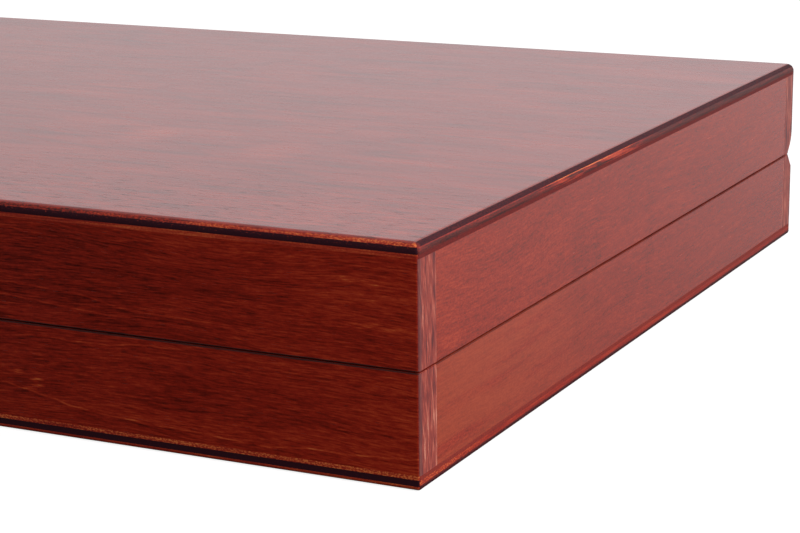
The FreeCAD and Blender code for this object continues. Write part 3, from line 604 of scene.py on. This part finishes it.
def lining(name, node, body, up, mat, channels, puff, slack, seed):
    """A padded lining: a cloth sheet pinned at its rim and along its sewn channels, blown up by a
    little pressure, then closed by rolled sides and a flat back. up is +1 when the soft face looks up."""
    lo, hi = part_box(node)
    cx, cy = (lo.x + hi.x) / 2, (lo.y + hi.y) / 2
    hx, hy = (hi.x - lo.x) / 2, (hi.y - lo.y) / 2
    thick = hi.z - lo.z
    back, face = (lo.z, hi.z) if up > 0 else (hi.z, lo.z)
    roll = 0.0022                                     # the rolled rim's radius in plan
    ex, ey = hx - roll, hy - roll
    nx, ny = int(round(2 * ex / 0.0042)), int(round(2 * ey / 0.0042))
    xs = np.linspace(-ex, ex, nx + 1)
    ys = np.linspace(-ey, ey, ny + 1)

    def snapped(vals, at):
        vals = vals.copy()
        for a in at:
            vals[int(np.argmin(abs(vals - a)))] = a
        return vals

    xs = snapped(xs, [c for k, c in channels if k == "x"])
    ys = snapped(ys, [c for k, c in channels if k == "y"])
    border_x = max((abs(c) for k, c in channels if k == "x"), default=0.0)
    border_y = max((abs(c) for k, c in channels if k == "y"), default=0.0)
    gx, gy = np.meshgrid(xs, ys, indexing="ij")
    seam_level = thick * 0.42
    rim_level = thick * 0.56
    z = np.full(gx.shape, rim_level)
    pin = np.zeros(gx.shape, bool)
    pin[0, :] = pin[-1, :] = pin[:, 0] = pin[:, -1] = True
    for k, c in channels:
        on = np.isclose(gx, c) & (abs(gy) <= border_y + 1e-6) if k == "x" else np.isclose(gy, c) & (abs(gx) <= border_x + 1e-6)
        pin |= on
        z[on] = seam_level
    ax, ay = gx.ravel(), gy.ravel()
    idx = np.arange(gx.size).reshape(gx.shape)
    quads = [(int(idx[i, j]), int(idx[i + 1, j]), int(idx[i + 1, j + 1]), int(idx[i, j + 1])) for i in range(nx) for j in range(ny)]
    rest = np.stack([ax, ay, z.ravel()], 1)
    # start a little puffed, so the sheet knows which way to go
    rng = np.random.default_rng(seed)
    d_pin = np.full(gx.shape, 1.0)
    px, py = gx[pin], gy[pin]
    for i in range(nx + 1):
        d_pin[i] = np.min(np.hypot(gx[i][:, None] - px[None, :], gy[i][:, None] - py[None, :]), axis=1)
    lift = 1 - np.exp(-d_pin / 0.010)
    start = rest.copy()
    start[:, 2] += (lift * thick * 0.22).ravel()
    jitter = rng.normal(0, 1, gx.shape)
    for _ in range(2):
        jitter = (jitter + np.roll(jitter, 1, 0) + np.roll(jitter, -1, 0) + np.roll(jitter, 1, 1) + np.roll(jitter, -1, 1)) / 5
    start[:, 2] += (jitter * 0.0004 * (d_pin > 0.003)).ravel()
    done = start.copy()
    me = bpy.data.meshes.new(name + "_sim")
    me.from_pydata([tuple(p) for p in start], [], quads)
    ob = bpy.data.objects.new(name + "_sim", me)
    scene.collection.objects.link(ob)
    vg = ob.vertex_groups.new(name="pin")
    vg.add([int(i) for i in idx[pin].ravel()], 1.0, "REPLACE")
    mod = ob.modifiers.new("cloth", "CLOTH")
    cs = mod.settings
    cs.quality = 6
    cs.mass = 0.25
    cs.tension_stiffness = cs.compression_stiffness = 18
    cs.shear_stiffness = 8
    cs.bending_stiffness = 0.25
    cs.shrink_min = -slack
    cs.vertex_group_mass = "pin"
    cs.use_pressure = True
    cs.uniform_pressure_force = puff
    cs.effector_weights.gravity = 0.0
    mod.collision_settings.use_collision = False
    mod.collision_settings.use_self_collision = False
    mod.point_cache.frame_start, mod.point_cache.frame_end = 1, 24
    for fr in range(1, 25):
        scene.frame_set(fr)
    dg = bpy.context.evaluated_depsgraph_get()
    ev = ob.evaluated_get(dg)
    got = np.array([v.co[:] for v in ev.data.vertices])
    scene.frame_set(1)
    bpy.data.objects.remove(ob)
    if np.isfinite(got).all():
        done = got
    rise = done[:, 2] - rest[:, 2]
    top_room = (thick * 0.97 - rest[:, 2])
    rise = np.where(rise > 0, top_room * (1 - np.exp(-rise / np.maximum(top_room, 1e-5))), np.maximum(rise, -thick * 0.1))
    done[:, 2] = rest[:, 2] + rise
    shift = done[:, :2] - rest[:, :2]
    done[:, :2] = rest[:, :2] + np.clip(shift, -0.0015, 0.0015)
    # close it: rolled side rings, then the flat back
    verts = [tuple(p) for p in done]
    faces = list(quads)
    ring = [int(idx[i, 0]) for i in range(nx)] + [int(idx[nx, j]) for j in range(ny)] + [int(idx[i, ny]) for i in range(nx, 0, -1)] + [int(idx[0, j]) for j in range(ny, 0, -1)]

    def outward(p, off, zz):
        x, y = p[0], p[1]
        bx, by = min(max(x, -ex), ex), min(max(y, -ey), ey)
        dx = 1.0 if abs(bx - ex) < 1e-6 else (-1.0 if abs(bx + ex) < 1e-6 else 0.0)
        dy = 1.0 if abs(by - ey) < 1e-6 else (-1.0 if abs(by + ey) < 1e-6 else 0.0)
        n = math.hypot(dx, dy)
        return (bx + off * dx / n, by + off * dy / n, zz)

    prev = ring
    for off, zz in ((0.0010, rim_level * 0.97), (0.0018, rim_level * 0.84), (roll, rim_level * 0.60), (roll * 0.98, rim_level * 0.30), (roll * 0.80, 0.0)):
        cur = []
        for r in ring:
            cur.append(len(verts))
            verts.append(outward(rest[r], off, zz))
        for a in range(len(ring)):
            b = (a + 1) % len(ring)
            faces.append((prev[a], cur[a], cur[b], prev[b]))
        prev = cur
    under = {ring[k]: prev[k] for k in range(len(ring))}
    for i in range(nx + 1):
        for j in range(ny + 1):
            k = int(idx[i, j])
            if k not in under:
                under[k] = len(verts)
                verts.append((xs[i], ys[j], 0.0))
    faces += [tuple(under[k] for k in reversed(q)) for q in quads]
    # piping: a covered cord sewn into the border seam, with its joint at the back
    pr, pz, turn = 0.00095, seam_level + 0.00055, 0.0045
    path = []
    for sx, sy, a0 in ((1, -1, -90), (1, 1, 0), (-1, 1, 90), (-1, -1, 180)):
        ox, oy = sx * (border_x - turn), sy * (border_y - turn)
        for k in range(7):
            a = math.radians(a0 + 15.0 * k)
            path.append((ox + turn * math.cos(a), oy + turn * math.sin(a)))
    long_path = []
    for k in range(len(path)):
        a, b = path[k], path[(k + 1) % len(path)]
        parts = max(1, int(math.hypot(b[0] - a[0], b[1] - a[1]) / 0.006))
        for q in range(parts):
            long_path.append((a[0] + (b[0] - a[0]) * q / parts, a[1] + (b[1] - a[1]) * q / parts))
    count, first = len(long_path), len(verts)
    for k, (qx, qy) in enumerate(long_path):
        ahead, behind = long_path[(k + 1) % count], long_path[k - 1]
        tx, ty = ahead[0] - behind[0], ahead[1] - behind[1]
        tl = math.hypot(tx, ty)
        side = (ty / tl, -tx / tl)
        swell = 1.0 + 0.05 * math.sin(k * 1.7) + 0.04 * math.sin(k * 0.61)
        for c in range(8):
            a = 2 * math.pi * c / 8
            r = pr * swell
            verts.append((qx + side[0] * r * math.cos(a), qy + side[1] * r * math.cos(a), pz + r * math.sin(a)))
    for k in range(count):
        n = (k + 1) % count
        for c in range(8):
            e = (c + 1) % 8
            faces.append((first + k * 8 + c, first + k * 8 + e, first + n * 8 + e, first + n * 8 + c))
    pts = [Vector((cx + p[0], cy + p[1], back + up * p[2])) for p in verts]
    me = bpy.data.meshes.new(name)
    me.from_pydata([tuple(p) for p in pts], [], faces)
    bm = bmesh.new()
    bm.from_mesh(me)
    bmesh.ops.recalc_face_normals(bm, faces=bm.faces)
    bm.to_mesh(me)
    bm.free()
    for p in me.polygons:
        p.use_smooth = True
    ob = bpy.data.objects.new(name, me)
    scene.collection.objects.link(ob)
    me.materials.append(mat)
    sub = ob.modifiers.new("smooth", "SUBSURF")
    sub.levels = sub.render_levels = 1
    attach(ob, body)
    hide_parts(node)
    return ob


b_lo, b_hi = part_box("base_lining_pad")
bx, by = (b_hi.x - b_lo.x) / 2, (b_hi.y - b_lo.y) / 2
base_pad = lining("base_velvet_pad", "base_lining_pad", "base", 1, velvet_mat,
                  [("x", -(bx - 0.020)), ("x", bx - 0.020), ("y", -(by - 0.020)), ("y", by - 0.020)], 1.6, 0.015, 4)
lid_pad = lining("lid_satin_pad", "lid_lining_pad", "lid", -1, satin_mat,
                 [("x", -(bx - 0.024)), ("x", bx - 0.024), ("y", -(by - 0.024)), ("y", by - 0.024)], 1.8, 0.035, 7)


# ---------------------------------------------------------------- materials onto the CAD nodes
def paint(mat, *names):
    for n in names:
        o = nodes[n]
        o.data.materials.clear()
        o.data.materials.append(mat)


paint(wood_front, "base_front_board", "lid_front_board")
paint(wood_back, "base_back_board", "lid_back_board")
paint(wood_right, "base_right_board", "lid_right_board")
paint(wood_left, "base_left_board", "lid_left_board")
paint(ply_face, "lid_face_ply", "base_under_ply")
paint(ply_core, "lid_core_ply", "base_core_ply")
paint(ply_inner, "lid_inner_ply", "base_inner_ply")
paint(brass, "left_hinge_base_leaf", "right_hinge_base_leaf", "left_hinge_lid_leaf", "right_hinge_lid_leaf")
paint(steel, "left_hinge_pin", "right_hinge_pin")
paint(screw_brass, "base_leaf_screws", "lid_leaf_screws")
paint(nickel, "base_magnet_discs", "lid_magnet_discs")


# ---------------------------------------------------------------- floor, world, lights
def floor():
    bm = bmesh.new()
    bmesh.ops.create_circle(bm, cap_ends=True, segments=96, radius=9.0)
    me = bpy.data.meshes.new("floor")
    bm.to_mesh(me)
    bm.free()
    ob = bpy.data.objects.new("floor", me)
    scene.collection.objects.link(ob)
    ob.location.z = -0.0002
    mat = bpy.data.materials.new("floor_white")
    mat.use_nodes = True
    g = Tree(mat.node_tree)
    out = g.new("ShaderNodeOutputMaterial")
    b = g.new("ShaderNodeBsdfPrincipled")
    g.put(b.inputs["Base Color"], (0.34, 0.34, 0.343, 1.0))
    g.put(b.inputs["Roughness"], 0.95)
    g.put(b.inputs["Specular IOR Level"], 0.0)
    g.put(b.inputs["Emission Color"], (1.0, 1.0, 1.0, 1.0))
    g.put(b.inputs["Emission Strength"], 0.84)
    g.t.links.new(b.outputs[0], out.inputs[0])
    me.materials.append(mat)
    ob.visible_glossy = False
    ob.visible_diffuse = False
    ob.visible_transmission = False
    ob.visible_shadow = False
    return ob


floor()

UP_BASE, UP_RIGHT, UP_FRONT, UP_BACK = 0.62, 0.40, 0.44, 0.31


def world():
    w = bpy.data.worlds.new("studio")
    scene.world = w
    w.use_nodes = True
    g = Tree(w.node_tree)
    out = g.new("ShaderNodeOutputWorld")
    bg = g.new("ShaderNodeBackground")
    tc = g.new("ShaderNodeTexCoord")
    x, y, z = g.sep(tc.outputs["Generated"])
    up = g.fma(g.max(x, 0.0), UP_RIGHT, UP_BASE)
    up = g.fma(g.max(g.mul(y, -1.0), 0.0), -UP_FRONT, up)
    # the far end of the white sweep is bright low down; towards the front the floor falls into shade
    side = g.add(g.mul(x, 0.15), g.mul(y, 0.99))
    up = g.fma(g.mul(g.step(side, 0.2, 0.9), g.step(z, 0.75, 0.25)), UP_BACK, up)
    low_back = g.line(z, -0.33, -0.10, 0.11, 0.80)
    low_front = g.line(z, -0.13, 0.0, 0.0, 0.16)
    low_side = g.line(z, -1.0, 0.0, 0.30, 0.42)
    low = g.blend(g.step(g.abs(x), 0.60, 0.98), g.blend(g.line(side, -0.35, 0.55), low_front, low_back), low_side)
    lum = g.blend(g.step(z, -0.06, 0.06), low, up)
    warm = g.mix(g.line(side, -1.0, 1.0), (1.0, 0.985, 0.97), (1.0, 0.978, 1.012))
    lp = g.new("ShaderNodeLightPath")
    seen = g.mix(lp.outputs["Is Camera Ray"], warm, (1.0, 1.0, 1.0))
    g.put(bg.inputs["Color"], seen)
    g.put(bg.inputs["Strength"], g.blend(lp.outputs["Is Camera Ray"], lum, 1.05))
    g.t.links.new(bg.outputs[0], out.inputs[0])


world()


def softbox(name, at, to, size, power, glossy=True):
    data = bpy.data.lights.new(name, "AREA")
    data.shape = "RECTANGLE"
    data.size, data.size_y = size
    data.energy = power
    ob = bpy.data.objects.new(name, data)
    scene.collection.objects.link(ob)
    ob.location = at
    ob.rotation_mode = "QUATERNION"
    ob.rotation_quaternion = (Vector(to) - Vector(at)).to_track_quat("-Z", "Y")
    ob.visible_camera = False
    ob.visible_glossy = glossy
    return ob


softbox("box_right", (1.20, -0.18, 0.60), (0.22, -0.05, 0.03), (1.1, 0.8), 8.9, glossy=False)
softbox("box_front_right", (0.50, -0.42, 0.22), (0.20, -0.16, 0.03), (0.25, 0.25), 0.42, glossy=False)
